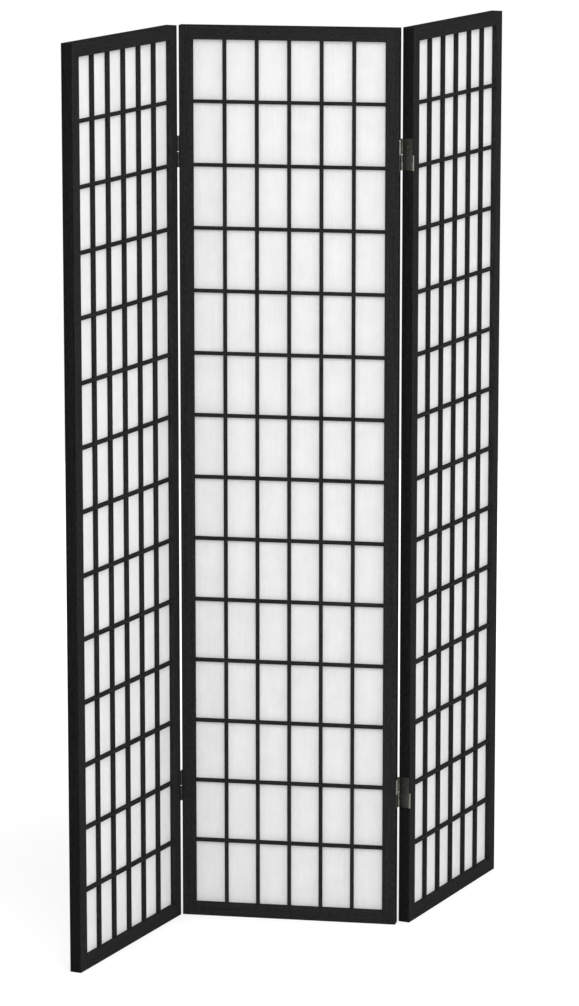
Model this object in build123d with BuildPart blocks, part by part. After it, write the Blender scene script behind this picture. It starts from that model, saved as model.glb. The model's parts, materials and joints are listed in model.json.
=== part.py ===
"""Folding shoji screen: three latticed paper panels joined by double-action hinges.

Millimetres. The origin is the middle of the centre panel's foot, +Z is up and the front faces -Y.
Every panel is worked out lying flat in line with the centre one, then swung about its hinge pins.
"""

from build123d import *
from math import cos, radians, sin, tan
import os

os.makedirs("parts", exist_ok=True)

# Panel frame
PANEL_HEIGHT = 1800.0
PANEL_WIDTH = 435.6
PANEL_THICKNESS = 24.0
STILE_WIDTH = 27.3
RAIL_WIDTH = 27.3
EDGE_CHAMFER = 1.0

# Stub tenons that hold the rails in the stiles
TENON_LENGTH = 18.0
TENON_THICKNESS = 8.0
TENON_SHOULDER = 7.0
TENON_LAND = 3.0
TENON_PLAY = 0.1

# Lattice: the cross bars are laid over the upright bars in half laps
COLUMNS = 6
ROWS = 14
BAR_WIDTH = 6.7
BAR_DEPTH = 8.0
BAR_SETBACK = 2.7
BAR_PLAY = 0.05
SIDE_COLUMN_EXTRA = 1.7
BOTTOM_ROW_EXTRA = 9.0

# Paper, pasted to the back of the lattice inside a rebate of the frame
PAPER_THICKNESS = 0.4
REBATE_WIDTH = 7.0
PAPER_PLAY = 0.5

# Double-action hinges, whose barrels, bores and pins have flats in place of rounds to keep the facets few
BARREL_FLATS = 10
PIN_FLATS = 6
PANEL_GAP = 3.4
HINGE_HEIGHT = 62.0
HINGE_SPLIT = 1.6
TOP_HINGE_DROP = 247.0
BOTTOM_HINGE_RISE = 270.0
PLATE_THICKNESS = 0.8
PIN_DIAMETER = 1.6
PIN_PLAY = 0.05
PIN_PROUD = 0.3
KNUCKLE_PLAY = 0.2
BARREL_CLEARANCE = 0.4
LEAF_KNUCKLE_SHARE = 0.5

# Countersunk screws of the hinge leaves, one in each half
SCREW_FLATS = 6
SCREW_LENGTH = 14.0
SCREW_DIAMETER = 3.5
SCREW_TAPER = 45.0
SCREW_PLAY = 0.05

# Angle from lying flat in line, as the screen stands
LEFT_FOLD = 74.7
RIGHT_FOLD = 74.0

# All cuts run this far past the faces that they open
OVERRUN = 1.0

# Places that follow from the sizes above
front = -PANEL_THICKNESS / 2
back = PANEL_THICKNESS / 2
side = PANEL_WIDTH / 2
opening_width = PANEL_WIDTH - 2 * STILE_WIDTH
opening_height = PANEL_HEIGHT - 2 * RAIL_WIDTH
bar_front = front + BAR_SETBACK
bar_back = bar_front + BAR_DEPTH
lap = (bar_front + bar_back) / 2
slot_width = BAR_WIDTH + 2 * BAR_PLAY
column_pitch = (opening_width + BAR_WIDTH - 2 * SIDE_COLUMN_EXTRA) / COLUMNS
row_pitch = (opening_height + BAR_WIDTH - BOTTOM_ROW_EXTRA) / ROWS
column_places = [(i - COLUMNS / 2) * column_pitch for i in range(1, COLUMNS)]
top_bar_line = PANEL_HEIGHT - RAIL_WIDTH + BAR_WIDTH / 2
row_places = [top_bar_line - i * row_pitch for i in range(1, ROWS)]

pin_line = back + PIN_PROUD
barrel_radius = PANEL_GAP / 2
bore_radius = PIN_DIAMETER / 2 + PIN_PLAY
half_flat = 180 / BARREL_FLATS
plate_edge = pin_line - barrel_radius - BARREL_CLEARANCE
half_height = (HINGE_HEIGHT - HINGE_SPLIT) / 2
half_middle = (HINGE_SPLIT + half_height) / 2
leaf_knuckle = half_height * LEAF_KNUCKLE_SHARE
link_knuckle = half_height - leaf_knuckle - KNUCKLE_PLAY
hinge_heights = {"top": PANEL_HEIGHT - TOP_HINGE_DROP, "bottom": BOTTOM_HINGE_RISE}
screw_heights = [z + s * half_middle for z in hinge_heights.values() for s in (1, -1)]
shank_radius = SCREW_DIAMETER / 2
head_radius = shank_radius + PLATE_THICKNESS * tan(radians(SCREW_TAPER))
leaf_side = -PANEL_GAP / 2
screw_face = leaf_side + PLATE_THICKNESS
screw_plane = Plane((0, 0, 0), x_dir=(0, -1, 0), z_dir=(-1, 0, 0))
tenon_height = RAIL_WIDTH - REBATE_WIDTH - TENON_SHOULDER - TENON_LAND


def build_stile(hinged):
    """A left-hand stile: eased outer edges, mortises for the rails, paper rebate, pilot holes if hinged."""
    inner_face = Plane((STILE_WIDTH - side, 0, 0), x_dir=(0, 1, 0), z_dir=(1, 0, 0))
    outer_face = Plane((-side, 0, 0), x_dir=(0, -1, 0), z_dir=(-1, 0, 0))
    with BuildPart() as stile:
        with BuildSketch():
            with Locations((STILE_WIDTH / 2 - side, 0)):
                Rectangle(STILE_WIDTH, PANEL_THICKNESS)
        extrude(amount=PANEL_HEIGHT)
        chamfer(stile.faces().sort_by(Axis.X)[0].edges().filter_by(Axis.Z), length=EDGE_CHAMFER)
        tenon_middle = TENON_SHOULDER + tenon_height / 2
        with BuildSketch(inner_face):
            with Locations((0, tenon_middle), (0, PANEL_HEIGHT - tenon_middle)):
                Rectangle(TENON_THICKNESS + 2 * TENON_PLAY, tenon_height + 2 * TENON_PLAY)
        extrude(amount=-TENON_LENGTH - TENON_PLAY, mode=Mode.SUBTRACT)
        with BuildSketch(inner_face):
            with Locations((bar_back, PANEL_HEIGHT / 2)):
                Rectangle(back - bar_back + OVERRUN, opening_height + 2 * REBATE_WIDTH,
                          align=(Align.MIN, Align.CENTER))
        extrude(amount=-REBATE_WIDTH, mode=Mode.SUBTRACT)
        if hinged:
            with BuildSketch(outer_face):
                with Locations([(0, z) for z in screw_heights]):
                    RegularPolygon(shank_radius + SCREW_PLAY, SCREW_FLATS, major_radius=False)
            extrude(amount=PLATE_THICKNESS - SCREW_LENGTH - SCREW_PLAY, mode=Mode.SUBTRACT)
    return stile.part


def build_head(play):
    """A screw head along -X with sloping flats, as deep as the plate. With play it is the countersink's shape."""
    radius = head_radius + play
    with BuildPart() as head:
        with BuildSketch(screw_plane):
            RegularPolygon(radius, SCREW_FLATS, major_radius=False)
        extrude(amount=PLATE_THICKNESS)
        for number in range(SCREW_FLATS):
            turn = radians(number * 360 / SCREW_FLATS)
            outward = Vector(0, sin(turn), cos(turn))
            slope = outward - Vector(tan(radians(SCREW_TAPER)), 0, 0)
            split(bisect_by=Plane(outward * radius, z_dir=slope), keep=Keep.BOTTOM)
    return head.part


hinged_stile = build_stile(True)
plain_stile = build_stile(False)
screw_head = build_head(0)
countersink = build_head(SCREW_PLAY)

# Bottom rail: a tenon at each end and the paper rebate along its inner edge
with BuildPart() as bottom_rail:
    with BuildSketch(Plane.YZ.offset(-opening_width / 2)):
        Rectangle(PANEL_THICKNESS, RAIL_WIDTH, align=(Align.CENTER, Align.MIN))
    extrude(amount=opening_width)
    with BuildSketch(Plane.YZ.offset(-opening_width / 2 - TENON_LENGTH)):
        with Locations((0, TENON_SHOULDER)):
            Rectangle(TENON_THICKNESS, tenon_height, align=(Align.CENTER, Align.MIN))
    extrude(amount=opening_width + 2 * TENON_LENGTH)
    with BuildSketch(Plane.XY.offset(RAIL_WIDTH)):
        with Locations((0, bar_back)):
            Rectangle(opening_width + 2 * OVERRUN, back - bar_back + OVERRUN, align=(Align.CENTER, Align.MIN))
    extrude(amount=-REBATE_WIDTH, mode=Mode.SUBTRACT)

# Upright bar: its front half is notched for each cross bar
with BuildPart() as upright_bar:
    with BuildSketch(Plane.XY.offset(RAIL_WIDTH)):
        with Locations((0, lap)):
            Rectangle(BAR_WIDTH, BAR_DEPTH)
    extrude(amount=opening_height)
    with BuildSketch(Plane.YZ):
        with Locations([(lap, z) for z in row_places]):
            Rectangle(BAR_DEPTH / 2 + OVERRUN, slot_width, align=(Align.MAX, Align.CENTER))
    extrude(amount=BAR_WIDTH / 2 + OVERRUN, both=True, mode=Mode.SUBTRACT)

# Cross bar: its back half is notched for each upright bar
with BuildPart() as cross_bar:
    with BuildSketch(Plane.YZ.offset(-opening_width / 2)):
        with Locations((lap, 0)):
            Rectangle(BAR_DEPTH, BAR_WIDTH)
    extrude(amount=opening_width)
    with BuildSketch(Plane.XY):
        with Locations([(x, lap) for x in column_places]):
            Rectangle(slot_width, BAR_DEPTH / 2 + OVERRUN, align=(Align.CENTER, Align.MIN))
    extrude(amount=BAR_WIDTH / 2 + OVERRUN, both=True, mode=Mode.SUBTRACT)

# The cross bars of one panel, each a piece of its own
with BuildPart() as cross_bars:
    with Locations([(0, 0, z) for z in row_places]):
        add(cross_bar.part)

# Paper: one flat sheet that lies on the floor of the rebate and on the back of the bars
with BuildPart() as paper:
    sheet_edge = REBATE_WIDTH - PAPER_PLAY
    with BuildSketch(Plane.XZ.offset(-bar_back)):
        with Locations((0, PANEL_HEIGHT / 2)):
            Rectangle(opening_width + 2 * sheet_edge, opening_height + 2 * sheet_edge)
    extrude(amount=-PAPER_THICKNESS)

# Hinge leaf, about the middle of the gap: the plate lies on the panel's edge at -X, its upper knuckle is rolled
# round the front pin and its lower knuckle round the back pin
with BuildPart() as leaf:
    with BuildSketch(Plane.XY.offset(-HINGE_HEIGHT / 2)):
        with Locations((leaf_side, 0)):
            Rectangle(PLATE_THICKNESS, 2 * plate_edge, align=(Align.MIN, Align.CENTER))
    extrude(amount=HINGE_HEIGHT)
    for pin_y, foot in ((-pin_line, HINGE_SPLIT / 2), (pin_line, -HINGE_SPLIT / 2 - leaf_knuckle)):
        with BuildSketch(Plane.XY.offset(foot)):
            with Locations((leaf_side, pin_y / 2)):
                Rectangle(PLATE_THICKNESS, pin_line, align=(Align.MIN, Align.CENTER))
            with Locations((0, pin_y)):
                RegularPolygon(barrel_radius, BARREL_FLATS, major_radius=False, rotation=half_flat)
                RegularPolygon(bore_radius, PIN_FLATS, major_radius=False, mode=Mode.SUBTRACT)
        extrude(amount=leaf_knuckle)
    with Locations((screw_face, 0, half_middle), (screw_face, 0, -half_middle)):
        add(countersink, mode=Mode.SUBTRACT)

# Hinge link of the upper half, from its foot up: a plate between the leaves with a knuckle on either pin
with BuildPart() as link:
    with BuildSketch():
        Rectangle(PLATE_THICKNESS, 2 * plate_edge)
    extrude(amount=half_height)
    with BuildSketch(Plane.XY.offset(half_height - link_knuckle)):
        Rectangle(PLATE_THICKNESS, 2 * pin_line)
        with Locations((0, pin_line), (0, -pin_line)):
            RegularPolygon(barrel_radius, BARREL_FLATS, major_radius=False, rotation=half_flat)
            RegularPolygon(bore_radius, PIN_FLATS, major_radius=False, mode=Mode.SUBTRACT)
    extrude(amount=link_knuckle)

# Hinge pin of one half, from its foot up
with BuildPart() as pin:
    with BuildSketch():
        RegularPolygon(PIN_DIAMETER / 2, PIN_FLATS)
    extrude(amount=half_height)

# Wood screw along -X from the middle of its head, which fills the countersink of the plate
with BuildPart() as screw:
    add(screw_head)
    with BuildSketch(screw_plane.offset(PLATE_THICKNESS)):
        RegularPolygon(shank_radius, SCREW_FLATS, major_radius=False)
    extrude(amount=SCREW_LENGTH - PLATE_THICKNESS)


def swing(x, y, angle):
    """The turn about an upright axis through x, y."""
    return Location((x, y, 0)) * Location((0, 0, 0), (0, 0, angle)) * Location((-x, -y, 0))


def write(name, shape):
    """Label one node and write its file."""
    shape.label = name
    export_step(shape, f"parts/{name}.step")


# Where each panel stands: the left one is swung forward about its front pins, the right one back about its
# back pins
joint_x = side + PANEL_GAP / 2
turns = {
    "centre": Location(),
    "left": swing(-joint_x, -pin_line, LEFT_FOLD),
    "right": swing(joint_x, pin_line, RIGHT_FOLD),
}
panel_step = {"centre": 0, "left": -PANEL_WIDTH - PANEL_GAP, "right": PANEL_WIDTH + PANEL_GAP}
left_stiles = {"centre": hinged_stile, "left": plain_stile, "right": hinged_stile}
right_stiles = {"centre": hinged_stile, "left": hinged_stile, "right": plain_stile}
middle_height = Plane.XY.offset(PANEL_HEIGHT / 2)

for panel, turn in turns.items():
    place = turn * Location((panel_step[panel], 0, 0))
    write(f"{panel}_left_stile", left_stiles[panel].moved(place))
    write(f"{panel}_right_stile", mirror(right_stiles[panel], about=Plane.YZ).moved(place))
    write(f"{panel}_bottom_rail", bottom_rail.part.moved(place))
    write(f"{panel}_top_rail", mirror(bottom_rail.part, about=middle_height).moved(place))
    write(f"{panel}_paper", paper.part.moved(place))
    write(f"{panel}_cross_bars", cross_bars.part.moved(place))
    for number, x in enumerate(column_places, start=1):
        write(f"{panel}_upright_bar_{number}", upright_bar.part.moved(place * Location((x, 0, 0))))

# The hinges: the left ones are the right ones turned half round. The upper links stay with the centre panel,
# the lower links swing with the side panels.
half_turn = Location((0, 0, 0), (0, 0, 180))
upper = Location((0, 0, HINGE_SPLIT / 2))
lower = Location((0, 0, -HINGE_SPLIT / 2), (180, 0, 0))
upper_screw = Location((screw_face, 0, half_middle))
lower_screw = Location((screw_face, 0, -half_middle))
front_pin = Location((0, -pin_line, 0))
back_pin = Location((0, pin_line, 0))
screws = {panel: [] for panel in turns}
pins = {panel: [] for panel in turns}

for panel, facing in (("left", half_turn), ("right", Location())):
    for level, height in hinge_heights.items():
        centre_place = Location((joint_x if panel == "right" else -joint_x, 0, height)) * facing
        side_place = turns[panel] * centre_place
        hinge = f"{panel}_{level}_hinge"
        write(f"{hinge}_centre_leaf", leaf.part.moved(centre_place))
        write(f"{hinge}_side_leaf", leaf.part.moved(side_place * half_turn))
        write(f"{hinge}_upper_link", link.part.moved(centre_place * upper))
        write(f"{hinge}_lower_link", link.part.moved(side_place * lower))
        for seat in (upper_screw, lower_screw):
            screws["centre"].append(screw.part.moved(centre_place * seat))
            screws[panel].append(screw.part.moved(side_place * half_turn * seat))
        for spot in (front_pin * upper, back_pin * upper, back_pin * lower):
            pins["centre"].append(pin.part.moved(centre_place * spot))
        pins[panel].append(pin.part.moved(side_place * front_pin * lower))

for panel in turns:
    write(f"{panel}_hinge_screws", Compound(screws[panel]))
    write(f"{panel}_hinge_pins", Compound(pins[panel]))
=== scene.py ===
import json
import math

import bmesh
import bpy
import numpy as np
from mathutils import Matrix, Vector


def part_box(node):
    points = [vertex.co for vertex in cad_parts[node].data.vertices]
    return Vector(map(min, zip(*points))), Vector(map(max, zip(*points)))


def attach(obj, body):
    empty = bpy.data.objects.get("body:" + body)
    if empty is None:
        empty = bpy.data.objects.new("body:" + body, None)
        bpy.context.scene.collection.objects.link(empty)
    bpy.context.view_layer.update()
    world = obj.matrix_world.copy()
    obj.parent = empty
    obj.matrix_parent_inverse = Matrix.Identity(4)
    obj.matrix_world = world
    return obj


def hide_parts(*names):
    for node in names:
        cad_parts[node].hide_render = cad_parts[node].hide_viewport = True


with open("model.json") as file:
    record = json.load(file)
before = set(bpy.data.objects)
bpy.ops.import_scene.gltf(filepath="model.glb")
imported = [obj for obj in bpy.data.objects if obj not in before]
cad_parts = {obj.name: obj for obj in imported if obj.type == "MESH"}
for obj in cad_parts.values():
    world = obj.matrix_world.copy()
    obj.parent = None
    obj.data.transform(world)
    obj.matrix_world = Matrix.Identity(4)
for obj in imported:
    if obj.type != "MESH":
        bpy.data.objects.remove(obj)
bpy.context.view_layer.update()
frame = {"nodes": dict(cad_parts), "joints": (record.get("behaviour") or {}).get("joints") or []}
nodes = frame["nodes"]
scene = bpy.context.scene
scene.view_settings.view_transform = "Standard"

MM = 0.001
PANELS = ("centre", "left", "right")

# Sizes of the panels, in millimetres, as the solids have them
PANEL_WIDTH = 435.6
PANEL_HEIGHT = 1800.0
PANEL_GAP = 3.4

# Sizes of the hinges, in millimetres, as the solids have them
SHEET = 0.8
HINGE_HEIGHT = 62.0
HINGE_SPLIT = 1.6
PIN_LINE = 12.3
PLATE_EDGE = 10.2
LEAF_KNUCKLE = 15.1
LINK_KNUCKLE = 14.9
PIN_RADIUS = 0.8
SHANK_RADIUS = 1.75
HEAD_RADIUS = 2.55
HEAD_PLAY = 0.05
SCREW_LENGTH = 14.0

# Small rounds that the solids leave out, in millimetres
FRAME_ROUND = 0.5
BAR_ROUND = 0.25
SHEET_ROUND = 0.16
PIN_DOME = 0.5

# How far the sheet rolls round a pin, in degrees. It stops short of itself, which leaves a seam
LEAF_ROLL = 296
LINK_ROLL = 284
ROLL_STEPS = 40

# Edges that turn by more than this stay crisp on the hinges, in degrees
SHARP_ANGLE = 38

# Sizes of the patterns on the materials, in millimetres: one for an even pattern, two for across and along
GRAIN_MM = (2.6, 120)
PORES_MM = (2.4, 9)
FILM_MM = 1.1
STREAKS_MM = (3.0, 110)
FIBRES_MM = (0.9, 14)
CLOUDS_MM = 38
ROLLING_LINES_MM = (0.3, 9)
RUBBED_PATCHES_MM = 4
DULL_PATCHES_MM = 1.5

# Painted shade on the lacquer: how far from a panel's outer faces the darkening starts, and where it is full,
# in millimetres
PAINTED_EDGE_SHADE_MM = (0.7, 0.2)

# How far the plating is rubbed back to bright metal, from 0 to 1. The left hinges' eyes are kept at the dark
# plating as painted shade, for the shade between the panels
EYE_WEAR_AND_SHADE = {"left": 0.0, "right": 1.0}
SCREW_WEAR = 0.3

# How much of the light on a face of the paper goes into the sheet
LIGHT_THROUGH_SHARE = 0.35

# A split parts each hinge into an upper and a lower half. Places across the gap are counted from its middle
HALF_HEIGHT = (HINGE_HEIGHT - HINGE_SPLIT) / 2
HALF_MIDDLE = (HINGE_SPLIT + HALF_HEIGHT) / 2
LEAF_SIDE = -PANEL_GAP / 2
SCREW_FACE = LEAF_SIDE + SHEET
EYE_RADIUS = PANEL_GAP / 2 - SHEET / 2

# How far each side panel is swung from lying in line with the centre one, and where it turns
folds = {joint["child"]: -joint["range_deg"][0] for joint in frame["joints"]}
joints_at = {joint["child"]: np.array(joint["pos_m"]) / MM for joint in frame["joints"]}


def swing(points, panel):
    """Points of a side panel that lies in line with the centre one, swung about the joint's pins to where
    the panel stands."""
    pivot = joints_at[panel] * np.array([1, 1, 0])
    fold = math.radians(folds[panel])
    cosine, sine = math.cos(fold), math.sin(fold)
    spin = np.array([[cosine, -sine, 0], [sine, cosine, 0], [0, 0, 1]])
    return (points - pivot) @ spin.T + pivot


def panel_foot(panel):
    """The middle of a panel's foot: for a side panel, a panel and a gap along from the centre one's, swung."""
    if panel == "centre":
        return np.zeros(3)
    along = math.copysign(PANEL_WIDTH + PANEL_GAP, joints_at[panel][0])
    return swing(np.array([along, 0, 0]), panel)


# Colours and nodes

def linear(code):
    """The linear colour of an sRGB hex value."""
    share = np.array([int(code[i:i + 2], 16) for i in (0, 2, 4)]) / 255
    curve = np.where(share <= 0.04045, share / 12.92, ((share + 0.055) / 1.055) ** 2.4)
    return (*curve.tolist(), 1.0)


def add_node(tree, kind, settings=(), links=()):
    """One node: settings fill its own properties or its inputs, links join its inputs to other outputs."""
    node = tree.nodes.new(kind)
    for name, value in dict(settings).items():
        if isinstance(name, str) and hasattr(node, name):
            setattr(node, name, value)
        else:
            node.inputs[name].default_value = value
    for name, output in dict(links).items():
        tree.links.new(output, node.inputs[name])
    return node


def start_material(name):
    """A material with an empty node tree, and the tree."""
    material = bpy.data.materials.new(name)
    material.use_nodes = True
    material.node_tree.nodes.clear()
    return material, material.node_tree


def squeezed(tree, place, size_mm, upright=True):
    """A place squeezed so that one step of a noise on it has this size across and along."""
    across, along = (1 / (length * MM) for length in size_mm)
    steps = (across, across, along) if upright else (along, across, across)
    return add_node(tree, "ShaderNodeVectorMath", {"operation": "MULTIPLY", 1: steps}, {0: place}).outputs[0]


def black_lacquered_basswood(panel, upright):
    """Basswood sprayed with dull satin black lacquer. The film is thin, so the eye gets hardly any sheen, a
    faint grain with short open pores that run along the piece, and a slightly uneven gloss. Near the panel's
    narrow outer faces, top and foot the colour is darkened to about half, as painted shade. Grain and pores are
    stretched noise."""
    material, tree = start_material(f"black_lacquered_basswood_{panel}_{'upright' if upright else 'across'}")
    place = add_node(tree, "ShaderNodeTexCoord").outputs["Object"]
    middle = panel_foot(panel) + np.array([0, 0, PANEL_HEIGHT / 2])
    turn = (0, 0, math.radians(folds.get(panel, 0)))
    on_panel = add_node(tree, "ShaderNodeMapping",
                        {"vector_type": "TEXTURE", "Location": middle * MM, "Rotation": turn},
                        {"Vector": place}).outputs[0]
    grain = add_node(tree, "ShaderNodeTexNoise",
                     {"Scale": 1.0, "Detail": 5.0, "Roughness": 0.62, "Distortion": 0.35},
                     {"Vector": squeezed(tree, on_panel, GRAIN_MM, upright)}).outputs[0]
    flecks = add_node(tree, "ShaderNodeTexNoise", {"Scale": 1.0, "Detail": 2.0, "Roughness": 0.6},
                      {"Vector": squeezed(tree, on_panel, PORES_MM, upright)}).outputs[0]
    film = add_node(tree, "ShaderNodeTexNoise", {"Scale": 1 / (FILM_MM * MM), "Detail": 2.0, "Roughness": 0.5},
                    {"Vector": place}).outputs[0]
    fleck_weight = 1.4
    mottle = add_node(tree, "ShaderNodeMath", {"operation": "MULTIPLY_ADD", 1: fleck_weight},
                      {0: flecks, 2: grain}).outputs[0]
    tone = add_node(tree, "ShaderNodeMapRange", {"From Min": 0.8, "From Max": 1.6},
                    {"Value": mottle}).outputs[0]
    thin_film = add_node(tree, "ShaderNodeMix",
                         {"data_type": "RGBA", 6: linear("171717"), 7: linear("303030")}, {0: tone}).outputs[2]
    # Painted shade: the colour darkens within a fraction of a millimetre of the panel's outer side faces, top
    # and foot, for the shade that falls there
    from_middle = add_node(tree, "ShaderNodeVectorMath", {"operation": "ABSOLUTE"}, {0: on_panel}).outputs[0]
    half_size = (PANEL_WIDTH / 2 * MM, 0, PANEL_HEIGHT / 2 * MM)
    past_edges = add_node(tree, "ShaderNodeVectorMath", {"operation": "SUBTRACT", 1: half_size},
                          {0: from_middle}).outputs[0]
    past = add_node(tree, "ShaderNodeSeparateXYZ", links={0: past_edges}).outputs
    nearest = add_node(tree, "ShaderNodeMath", {"operation": "MAXIMUM"},
                       {0: past["X"], 1: past["Z"]}).outputs[0]
    painted_edge_shade = add_node(tree, "ShaderNodeMapRange",
                        {"From Min": -PAINTED_EDGE_SHADE_MM[0] * MM, "From Max": -PAINTED_EDGE_SHADE_MM[1] * MM},
                        {"Value": nearest}).outputs[0]
    # The painted shade takes the colour down to about half at the outer faces
    colour = add_node(tree, "ShaderNodeMix",
                      {"data_type": "RGBA", "blend_type": "MULTIPLY", 7: linear("bcbcbc")},
                      {0: painted_edge_shade, 6: thin_film}).outputs[2]
    gloss = add_node(tree, "ShaderNodeMapRange",
                     {"From Min": 0.3, "From Max": 0.7, "To Min": 0.86, "To Max": 0.98},
                     {"Value": grain}).outputs[0]
    pores = add_node(tree, "ShaderNodeBump", {"Strength": 0.25, "Distance": 0.25 * MM},
                     {"Height": grain}).outputs[0]
    skin = add_node(tree, "ShaderNodeBump", {"Strength": 0.12, "Distance": 0.08 * MM},
                    {"Height": film, "Normal": pores}).outputs[0]
    shader = add_node(tree, "ShaderNodeBsdfPrincipled", {"Specular IOR Level": 0.02, "IOR": 1.5},
                      {"Base Color": colour, "Roughness": gloss, "Normal": skin}).outputs[0]
    add_node(tree, "ShaderNodeOutputMaterial", links={"Surface": shader})
    return material


def washi_paper():
    """White machine-made washi: long kozo fibres laid upright show as faint pale and grey streaks, the pulp
    between them is a little cloudy, and the surface is dead matt with a fine tooth. Some light passes through
    each face, so that the lattice shows faintly from behind."""
    material, tree = start_material("washi_paper")
    place = add_node(tree, "ShaderNodeTexCoord").outputs["Object"]
    streaks = add_node(tree, "ShaderNodeTexNoise", {"Scale": 1.0, "Detail": 3.0},
                       {"Vector": squeezed(tree, place, STREAKS_MM)}).outputs[0]
    fibres = add_node(tree, "ShaderNodeTexNoise", {"Scale": 1.0, "Detail": 4.0, "Distortion": 0.8},
                      {"Vector": squeezed(tree, place, FIBRES_MM)}).outputs[0]
    clouds = add_node(tree, "ShaderNodeTexNoise", {"Scale": 1 / (CLOUDS_MM * MM), "Detail": 3.0},
                      {"Vector": place}).outputs[0]
    streak_weight, cloud_weight = 0.45, 0.55
    laid = add_node(tree, "ShaderNodeMath", {"operation": "MULTIPLY_ADD", 1: streak_weight},
                    {0: streaks, 2: fibres}).outputs[0]
    pulp = add_node(tree, "ShaderNodeMath", {"operation": "MULTIPLY_ADD", 1: cloud_weight},
                    {0: clouds, 2: laid}).outputs[0]
    tone = add_node(tree, "ShaderNodeMapRange", {"From Min": 0.75, "From Max": 1.25},
                    {"Value": pulp}).outputs[0]
    colour = add_node(tree, "ShaderNodeMix",
                      {"data_type": "RGBA", 6: linear("eeeeee"), 7: linear("f8f8f8")}, {0: tone}).outputs[2]
    tooth = add_node(tree, "ShaderNodeBump", {"Strength": 0.3, "Distance": 0.1 * MM},
                     {"Height": fibres}).outputs[0]
    shader = add_node(tree, "ShaderNodeBsdfPrincipled",
                      {"Roughness": 0.92, "Specular IOR Level": 0.2, "IOR": 1.46},
                      {"Base Color": colour, "Normal": tooth}).outputs[0]
    through = add_node(tree, "ShaderNodeBsdfTranslucent", links={"Color": colour, "Normal": tooth}).outputs[0]
    sheet = add_node(tree, "ShaderNodeMixShader", {0: LIGHT_THROUGH_SHARE}, {1: shader, 2: through}).outputs[0]
    add_node(tree, "ShaderNodeOutputMaterial", links={"Surface": sheet})
    return material


def antique_bronze_plated_steel():
    """Pressed steel with a dark antique-bronze plating. The flats stay dark and faintly olive, the rolled eyes
    are rubbed back to brighter metal where the point attribute says so, and the rolling of the sheet leaves
    fine upright lines, drawn 0.3 mm apart so that they show. That attribute also carries painted shade: on the
    left hinges the eyes keep the dark plating, for the shade between the panels."""
    material, tree = start_material("antique_bronze_plated_steel")
    place = add_node(tree, "ShaderNodeTexCoord").outputs["Object"]
    lines = add_node(tree, "ShaderNodeTexNoise", {"Scale": 1.0, "Detail": 3.0},
                     {"Vector": squeezed(tree, place, ROLLING_LINES_MM)}).outputs[0]
    patches = add_node(tree, "ShaderNodeTexNoise", {"Scale": 1 / (RUBBED_PATCHES_MM * MM), "Detail": 4.0},
                       {"Vector": place}).outputs[0]
    # The attribute holds rubbed metal, and painted shade where the left hinges' eyes keep the dark plating
    rubbed_and_shaded = add_node(tree, "ShaderNodeAttribute", {"attribute_name": "wear_and_shade"}).outputs["Fac"]
    rubbed_weight, patch_weight, kept_plating = 0.9, 0.5, 0.2
    uneven = add_node(tree, "ShaderNodeMath", {"operation": "MULTIPLY_ADD", 1: patch_weight, 2: -kept_plating},
                      {0: patches}).outputs[0]
    wear_and_shade = add_node(tree, "ShaderNodeMath", {"operation": "MULTIPLY_ADD", 1: rubbed_weight, "use_clamp": True},
                    {0: rubbed_and_shaded, 2: uneven}).outputs[0]
    colour = add_node(tree, "ShaderNodeMix",
                      {"data_type": "RGBA", 6: linear("3f3f3b"), 7: linear("7f7e77")}, {0: wear_and_shade}).outputs[2]
    gloss = add_node(tree, "ShaderNodeMapRange", {"To Min": 0.36, "To Max": 0.56}, {"Value": lines}).outputs[0]
    relief = add_node(tree, "ShaderNodeBump", {"Strength": 0.15, "Distance": 0.05 * MM},
                      {"Height": lines}).outputs[0]
    shader = add_node(tree, "ShaderNodeBsdfPrincipled", {"Metallic": 1.0},
                      {"Base Color": colour, "Roughness": gloss, "Normal": relief}).outputs[0]
    add_node(tree, "ShaderNodeOutputMaterial", links={"Surface": shader})
    return material


def zinc_plated_steel():
    """Drawn steel pins under dull zinc: grey, brighter where they were turned, with small dull patches."""
    material, tree = start_material("zinc_plated_steel")
    place = add_node(tree, "ShaderNodeTexCoord").outputs["Object"]
    patches = add_node(tree, "ShaderNodeTexNoise", {"Scale": 1 / (DULL_PATCHES_MM * MM), "Detail": 4.0},
                       {"Vector": place}).outputs[0]
    colour = add_node(tree, "ShaderNodeMix",
                      {"data_type": "RGBA", 6: linear("6a6a64"), 7: linear("9a9a94")},
                      {0: patches}).outputs[2]
    gloss = add_node(tree, "ShaderNodeMapRange", {"To Min": 0.25, "To Max": 0.45},
                     {"Value": patches}).outputs[0]
    shader = add_node(tree, "ShaderNodeBsdfPrincipled", {"Metallic": 1.0},
                      {"Base Color": colour, "Roughness": gloss}).outputs[0]
    add_node(tree, "ShaderNodeOutputMaterial", links={"Surface": shader})
    return material


# Surfaces of the hinges, in millimetres about the middle of the gap, with the leaf's plate at -X.
# A shell is an array of points and a list of faces

def grid_quads(rows, columns, round_rows=False, round_columns=False):
    """Quads between neighbouring points of a rows by columns grid, closed round where asked."""
    a, b = np.meshgrid(np.arange(rows if round_rows else rows - 1),
                       np.arange(columns if round_columns else columns - 1), indexing="ij")
    c, d = (a + 1) % rows, (b + 1) % columns
    corners = [a * columns + b, c * columns + b, c * columns + d, a * columns + d]
    return np.stack(corners, -1).reshape(-1, 4).tolist()


def capped_tube(grid):
    """A closed shell from rows of points round a tube: quads between neighbours, and a cap on each end."""
    rows, columns = grid.shape[:2]
    caps = [list(range(columns)), list(range((rows - 1) * columns, rows * columns))]
    return grid.reshape(-1, 3), grid_quads(rows, columns, round_columns=True) + caps


def signed(shell, signs):
    """A shell with its coordinates times signs: half turned about the upright axis, or mirrored."""
    points, faces = shell
    return points * np.array(signs), faces


def straight(x, start, end, steps):
    """Points on a straight run across the panel's thickness, at one place in the gap."""
    return np.stack([np.full(steps, x), np.linspace(start, end, steps)], -1)


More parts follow.
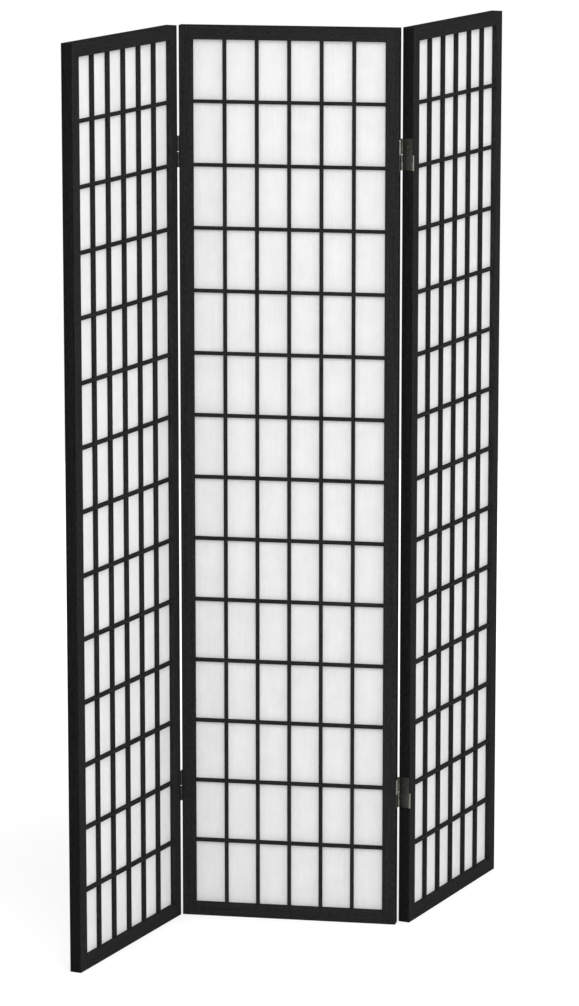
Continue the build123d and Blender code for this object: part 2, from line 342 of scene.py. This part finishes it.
def arc(centre, radius, start, sweep, steps):
    """Points on a circle: centre plus radius times the cosine and sine of an angle that runs from start
    through sweep."""
    angle = np.radians(start + sweep * np.linspace(0, 1, steps))
    return np.array(centre) + radius * np.stack([np.cos(angle), np.sin(angle)], -1)


def rolled_sheet(path, foot, head):
    """A strip of sheet carried along a plan path: at each point of the path a thin upright rectangle with
    rounded corners, half the sheet to either side of the path and from foot to head, stands square to it."""
    heading = np.gradient(path, axis=0)
    heading /= np.linalg.norm(heading, axis=1, keepdims=True)
    aside = np.stack([-heading[:, 1], heading[:, 0]], -1)
    corner = arc((0, 0), SHEET_ROUND, 0, 90, 4)
    spans = np.array([SHEET, head - foot]) / 2 - SHEET_ROUND
    quarters = np.array([[1, 1], [-1, 1], [-1, -1], [1, -1]])
    section = np.concatenate([((corner if s.prod() > 0 else corner[::-1]) + spans) * s for s in quarters])
    plan = path[:, None, :] + aside[:, None, :] * section[None, :, :1]
    rise = np.broadcast_to((foot + head) / 2 + section[None, :, 1:], (*plan.shape[:2], 1))
    return capped_tube(np.concatenate([plan, rise], -1))


def leaf_eye(foot):
    """The leaf's knuckle: the sheet runs straight to the pin line and rolls round the front pin, and stops
    short of itself."""
    lead = straight(-EYE_RADIUS, SHEET / 2 - PLATE_EDGE, -PIN_LINE, 4)
    roll = arc((0, -PIN_LINE), EYE_RADIUS, 180, LEAF_ROLL, ROLL_STEPS)
    return rolled_sheet(np.concatenate([lead, roll[1:]]), foot, foot + LEAF_KNUCKLE)


def link_eye(foot):
    """The link's knuckle: the sheet leaves the middle of the gap in a bend as wide as the eye, whose circle
    touches the eye's circle, and then rolls round the back pin the other way."""
    bend_start = PIN_LINE - math.sqrt(3) * EYE_RADIUS
    lead = straight(0, PLATE_EDGE - SHEET, bend_start, 3)
    bend = arc((EYE_RADIUS, bend_start), EYE_RADIUS, 180, -60, 12)
    roll = arc((0, PIN_LINE), EYE_RADIUS, -60, LINK_ROLL, ROLL_STEPS)
    return rolled_sheet(np.concatenate([lead, bend[1:], roll[1:]]), foot, foot + LINK_KNUCKLE)


def link_plate():
    """The link's plate: a strip of sheet carried straight across the thickness, in the upper half."""
    return rolled_sheet(straight(0, -PLATE_EDGE, PLATE_EDGE, 5), HINGE_SPLIT / 2, HINGE_HEIGHT / 2)


def drilled_plate(half):
    """Half of a leaf's plate with one countersunk hole, above the middle for 1 and below it for -1. A point is
    named by its direction from the hole's middle and by its step round the plate's section: the hole's rim,
    out to the plate's edge, back from the edge on the far face, and the hole's far rim."""
    edge_steps = 12
    run = np.linspace(-1, 1, edge_steps, endpoint=False)
    one = np.ones(edge_steps)
    square = np.concatenate([np.stack([run, -one], -1), np.stack([one, run], -1),
                             np.stack([-run, one], -1), np.stack([-one, -run], -1)])
    plate_middle = HINGE_HEIGHT / 4
    edge = square * np.array([PLATE_EDGE, plate_middle])
    angle = np.arctan2(edge[:, 1], edge[:, 0])
    ray = np.stack([np.cos(angle), np.sin(angle)], -1)
    hole = np.array([0, HALF_MIDDLE - plate_middle])
    rim, far_rim = (ray * (radius + HEAD_PLAY) + hole for radius in (HEAD_RADIUS, SHANK_RADIUS))
    rings = np.array([0, 0.15, 0.45, 1])[:, None, None]
    near = rim + (edge - rim) * rings
    far = (far_rim + (edge - far_rim) * rings)[::-1]
    flat = np.concatenate([near, far])
    depth = np.repeat([SCREW_FACE, LEAF_SIDE], len(rings))[:, None, None] * np.ones((1, len(edge), 1))
    points = np.concatenate([depth, flat], -1)
    points[..., 2] = (points[..., 2] + plate_middle) * half
    points = points.reshape(-1, 3)
    quads = np.array(grid_quads(len(flat), len(edge), True, True))
    on_middle = np.all(np.abs(points[quads][..., 2]) < 1e-6, axis=1)
    return points, quads[~on_middle].tolist()


def hinge_pin():
    """A pin with domed ends, turned about the upright axis: over the dome at each end the radius falls off as a
    quarter circle to a small flat."""
    flat_share = 0.35
    dome = arc((0, 0), 1, 180, -90, 6)
    radius = PIN_RADIUS * (flat_share + (1 - flat_share) * dome[:, 1])
    low = np.stack([PIN_DOME * (1 + dome[:, 0]), radius], -1)
    high = np.stack([HALF_HEIGHT - low[:, 0], low[:, 1]], -1)[::-1]
    profile = np.concatenate([low, high])
    angle = np.linspace(0, 2 * np.pi, 24, endpoint=False)
    along, radius = profile[:, :1], profile[:, 1:]
    return capped_tube(np.stack([radius * np.cos(angle), radius * np.sin(angle), along + 0 * angle], -1))


def wood_screw():
    """A countersunk wood screw along -X from the middle of its head. Round the axis the radius is the turned
    profile less a thread groove, a wave in height over pitch minus turn, and the head sinks in a cross-shaped
    recess. Lengths are in millimetres, and the groove is a share of the radius."""
    pitch, groove, groove_shape = 1.4, 0.42, 0.6
    plain_length, run_in = 4.2, 0.8
    tip_length, tip_share = 3.5, 0.04
    recess_depth, slot_half, slot_slope, slot_reach, reach_slope = 0.75, 0.42, 0.18, 1.55, 0.3
    angle = np.linspace(0, 2 * np.pi, 32, endpoint=False)
    face = np.linspace(0.06, 1, 12) * HEAD_RADIUS
    cone = np.linspace(HEAD_RADIUS, SHANK_RADIUS, 4)[1:]
    shank = np.linspace(SHEET, SCREW_LENGTH, 84)[1:]
    depth = np.concatenate([0 * face, HEAD_RADIUS - cone, shank])[:, None]
    tip = np.clip((SCREW_LENGTH - shank) / tip_length, tip_share, 1)
    radius = np.concatenate([face, cone, SHANK_RADIUS * tip])[:, None] + 0 * angle
    threaded = np.clip((depth - plain_length) / run_in, 0, 1)
    wave = 0.5 - 0.5 * np.cos(2 * np.pi * (depth / pitch - angle / (2 * np.pi)))
    radius = radius * (1 - threaded * groove * wave ** groove_shape)
    y, z = radius * np.cos(angle), radius * np.sin(angle)
    slots = [np.clip((slot_half - np.abs(across)) / slot_slope, 0, 1)
             * np.clip((slot_reach - np.abs(along)) / reach_slope, 0, 1) for across, along in ((y, z), (z, y))]
    on_face = depth + 0 * angle <= 0
    sunk = np.where(on_face, recess_depth * np.maximum(*slots), 0)
    return capped_tube(np.stack([-(depth + sunk), y, z], -1))


def on_hinge(points, panel, level, own_turn, with_panel):
    """Points of a hinge in the row frame: turned half round for the left joint and for a side leaf, moved to
    the joint, and swung about the joint's pins where they belong to the side panel."""
    sign = -1 if (panel == "left") != own_turn else 1
    moved = points * np.array([sign, sign, 1]) + np.array([joints_at[panel][0], 0, level])
    return swing(moved, panel) if with_panel else moved


def make_piece(name, shells, material, body, node, wears_and_shade=None):
    """One mesh from several shells, with a wear value for each where given, standing for a node of the model.
    The low value on the left hinges' eyes is painted shade.
    """
    starts = np.cumsum([0] + [len(points) for points, _ in shells])
    points = np.concatenate([points for points, _ in shells]) * MM
    faces = [[i + start for i in face] for (_, quads), start in zip(shells, starts) for face in quads]
    mesh = bpy.data.meshes.new(name)
    mesh.from_pydata(points, [], faces)
    if wears_and_shade is not None:
        wear_and_shade = np.repeat(wears_and_shade, [len(points) for points, _ in shells]).astype(np.float32)
        mesh.attributes.new("wear_and_shade", "FLOAT", "POINT").data.foreach_set("value", wear_and_shade)
    work = bmesh.new()
    work.from_mesh(mesh)
    bmesh.ops.remove_doubles(work, verts=work.verts, dist=1e-7)
    bmesh.ops.recalc_face_normals(work, faces=work.faces)
    work.to_mesh(mesh)
    work.free()
    mesh.polygons.foreach_set("use_smooth", np.ones(len(mesh.polygons), bool))
    mesh.set_sharp_from_angle(angle=math.radians(SHARP_ANGLE))
    mesh.materials.append(material)
    piece = bpy.data.objects.new(name, mesh)
    scene.collection.objects.link(piece)
    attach(piece, body)
    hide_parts(node)


def finish_node(name, material, round_mm=0):
    """Give a node its finish, and for wood a small round on its edges: merge its loose triangles, join the
    flat ones, and round what is left."""
    piece = nodes[name]
    piece.data.materials.clear()
    piece.data.materials.append(material)
    if round_mm:
        weld = piece.modifiers.new("merged", "WELD")
        weld.merge_threshold = 1e-6
        flat = piece.modifiers.new("flat_faces", "DECIMATE")
        flat.decimate_type = "DISSOLVE"
        flat.angle_limit = math.radians(1)
        edge = piece.modifiers.new("eased_edges", "BEVEL")
        edge.width = round_mm * MM
        edge.segments = 2
        edge.limit_method = "ANGLE"
        edge.angle_limit = math.radians(30)


# Finishes of the wood and the paper, whose solids have the right shape

upright_lacquer = {panel: black_lacquered_basswood(panel, upright=True) for panel in PANELS}
across_lacquer = {panel: black_lacquered_basswood(panel, upright=False) for panel in PANELS}
paper = washi_paper()
bronze = antique_bronze_plated_steel()
zinc = zinc_plated_steel()

for node in nodes:
    panel = node.split("_")[0]
    if node.endswith("paper"):
        finish_node(node, paper)
    elif node.endswith("stile"):
        finish_node(node, upright_lacquer[panel], FRAME_ROUND)
    elif node.endswith("rail"):
        finish_node(node, across_lacquer[panel], FRAME_ROUND)
    elif "upright_bar" in node:
        finish_node(node, upright_lacquer[panel], BAR_ROUND)
    elif node.endswith("cross_bars"):
        finish_node(node, across_lacquer[panel], BAR_ROUND)

# Hinges: rolled leaves and links, domed pins and threaded screws in place of the plain solids

HALF_TURN = (-1, -1, 1)
FRONT_TO_BACK = (1, -1, 1)
leaf_shells = [drilled_plate(1), drilled_plate(-1), leaf_eye(HINGE_SPLIT / 2),
               signed(leaf_eye(-HINGE_SPLIT / 2 - LEAF_KNUCKLE), FRONT_TO_BACK)]
back_link_eye = link_eye(HINGE_HEIGHT / 2 - LINK_KNUCKLE)
link_shells = [link_plate(), back_link_eye, signed(back_link_eye, HALF_TURN)]
screw, pin = wood_screw(), hinge_pin()
screw_seats = [np.array([SCREW_FACE, 0, half * HALF_MIDDLE]) for half in (1, -1)]

# A link's half of the hinge, how the upper link is turned to make it, and whether it goes with the side panel
LINK_HALVES = (("upper", (1, 1, 1), False), ("lower", (1, -1, -1), True))

# A pin's side of the panel, its half of the hinge, and whether it goes with the side panel
PIN_PLACES = ((-1, 1, False), (1, 1, False), (1, -1, False), (-1, -1, True))

screws = {panel: [] for panel in PANELS}
pins = {panel: [] for panel in PANELS}

for panel in ("left", "right"):
    for level_name in ("top", "bottom"):
        hinge = f"{panel}_{level_name}_hinge"
        low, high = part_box(f"{hinge}_centre_leaf")
        level = (low[2] + high[2]) / 2 / MM
        for side, with_panel in (("centre", False), ("side", True)):
            body = panel if with_panel else "centre"
            shells = [(on_hinge(points, panel, level, with_panel, with_panel), faces)
                      for points, faces in leaf_shells]
            # The eyes take their panel's wear value; on the left hinges its low value is painted shade
            make_piece(f"{hinge}_{side}_leaf_rolled", shells, bronze, body,
                       f"{hinge}_{side}_leaf", wears_and_shade=[0, 0] + 2 * [EYE_WEAR_AND_SHADE[panel]])
            screws[body] += [(on_hinge(screw[0] + seat, panel, level, with_panel, with_panel), screw[1])
                             for seat in screw_seats]
        for half, signs, with_panel in LINK_HALVES:
            body = panel if with_panel else "centre"
            shells = [(on_hinge(points * np.array(signs), panel, level, False, with_panel), faces)
                      for points, faces in link_shells]
            # The link eyes take their panel's wear value; on the left hinges its low value is painted shade
            make_piece(f"{hinge}_{half}_link_rolled", shells, bronze, body,
                       f"{hinge}_{half}_link", wears_and_shade=[0] + 2 * [EYE_WEAR_AND_SHADE[panel]])
        for side, half, with_panel in PIN_PLACES:
            body = panel if with_panel else "centre"
            standing = (pin[0] + np.array([0, 0, HINGE_SPLIT / 2])) * np.array([1, 1, half])
            placed = standing + np.array([0, side * PIN_LINE, 0])
            pins[body].append((on_hinge(placed, panel, level, False, with_panel), pin[1]))

for panel in PANELS:
    make_piece(f"{panel}_hinge_screws_threaded", screws[panel], bronze, panel,
               f"{panel}_hinge_screws", wears_and_shade=[SCREW_WEAR] * len(screws[panel]))
    make_piece(f"{panel}_hinge_pins_domed", pins[panel], zinc, panel, f"{panel}_hinge_pins")

# Camera at the photograph's viewing angle, in metres and degrees

CAMERA_AT = (1.4287, -8.2417, 2.5270)
CAMERA_YAW = 9.836
CAMERA_PITCH = -11.298
FOCAL_PIXELS = 4297.8
IMAGE_HEIGHT = 1006
SENSOR = 36.0

lens = bpy.data.cameras.new("camera")
lens.sensor_width = SENSOR
lens.lens = FOCAL_PIXELS / IMAGE_HEIGHT * SENSOR
lens.clip_end = 100
camera = bpy.data.objects.new("camera", lens)
camera.location = CAMERA_AT
camera.rotation_euler = (math.radians(90 + CAMERA_PITCH), 0, math.radians(CAMERA_YAW))
scene.collection.objects.link(camera)
scene.camera = camera

# Studio: a white room, a large soft light in front and one at the right, both above, and a pale floor that
# keeps the shadow. Lengths are in metres

LIGHT_SIZE = 4.0
LIGHT_TARGET = (0.0, 0.0, 1.2)
ROOM_LIGHT = 0.57
FLOOR_RADIUS = 5.0
FLOOR_FADE = (0.7, 2.6)
FLOOR_GLOW = (0.62, 1.0)


def soft_light(name, at, watts):
    """A square area light that faces the middle of the screen."""
    lamp = bpy.data.lights.new(name, "AREA")
    lamp.size = LIGHT_SIZE
    lamp.energy = watts
    holder = bpy.data.objects.new(name, lamp)
    holder.location = at
    back = np.array(at) - np.array(LIGHT_TARGET)
    holder.rotation_euler = (math.atan2(math.hypot(back[0], back[1]), back[2]), 0,
                             math.atan2(back[0], -back[1]))
    scene.collection.objects.link(holder)


soft_light("front_light", at=(0.8, -5.0, 3.6), watts=183)
soft_light("right_light", at=(5.0, -0.8, 4.2), watts=120)


def background_ray(tree):
    """1 where the camera, a reflection or a clear surface looks at the surroundings."""
    path = add_node(tree, "ShaderNodeLightPath").outputs
    seen = add_node(tree, "ShaderNodeMath", {"operation": "MAXIMUM"},
                    {0: path["Is Camera Ray"], 1: path["Is Glossy Ray"]}).outputs[0]
    return add_node(tree, "ShaderNodeMath", {"operation": "MAXIMUM"},
                    {0: seen, 1: path["Is Transmission Ray"]}).outputs[0]


room = bpy.data.worlds.new("white_room")
room.use_nodes = True
room_tree = room.node_tree
room_tree.nodes.clear()
room_light = add_node(room_tree, "ShaderNodeMapRange", {"To Min": ROOM_LIGHT, "To Max": 1.0},
                      {"Value": background_ray(room_tree)}).outputs[0]
room_shader = add_node(room_tree, "ShaderNodeBackground", {"Color": linear("ffffff")},
                       {"Strength": room_light}).outputs[0]
add_node(room_tree, "ShaderNodeOutputWorld", links={"Surface": room_shader})
scene.world = room

# The floor is matt paint. Where it is seen, it also glows a little more with the distance, up to white
floor_paint, floor_tree = start_material("white_studio_floor")
bounce = add_node(floor_tree, "ShaderNodeBsdfDiffuse", {"Color": linear("e6e6e6")}).outputs[0]
paint = add_node(floor_tree, "ShaderNodeBsdfDiffuse", {"Color": linear("bcbcbc")}).outputs[0]
floor_place = add_node(floor_tree, "ShaderNodeTexCoord").outputs["Object"]
distance = add_node(floor_tree, "ShaderNodeVectorMath", {"operation": "LENGTH"},
                    {0: floor_place}).outputs["Value"]
fade = add_node(floor_tree, "ShaderNodeMapRange",
                {"interpolation_type": "SMOOTHSTEP", "From Min": FLOOR_FADE[0], "From Max": FLOOR_FADE[1],
                 "To Min": FLOOR_GLOW[0], "To Max": FLOOR_GLOW[1]},
                {"Value": distance}).outputs[0]
glow = add_node(floor_tree, "ShaderNodeEmission", links={"Strength": fade}).outputs[0]
seen_floor = add_node(floor_tree, "ShaderNodeAddShader", links={0: paint, 1: glow}).outputs[0]
floor_shader = add_node(floor_tree, "ShaderNodeMixShader",
                        links={0: background_ray(floor_tree), 1: bounce, 2: seen_floor}).outputs[0]
add_node(floor_tree, "ShaderNodeOutputMaterial", links={"Surface": floor_shader})

ring = arc((0, 0), FLOOR_RADIUS, 0, 360, 97)[:-1]
floor_mesh = bpy.data.meshes.new("floor")
floor_mesh.from_pydata(np.column_stack([ring, np.zeros(len(ring))]), [], [list(range(len(ring)))])
floor_mesh.materials.append(floor_paint)
floor = bpy.data.objects.new("floor", floor_mesh)
scene.collection.objects.link(floor)
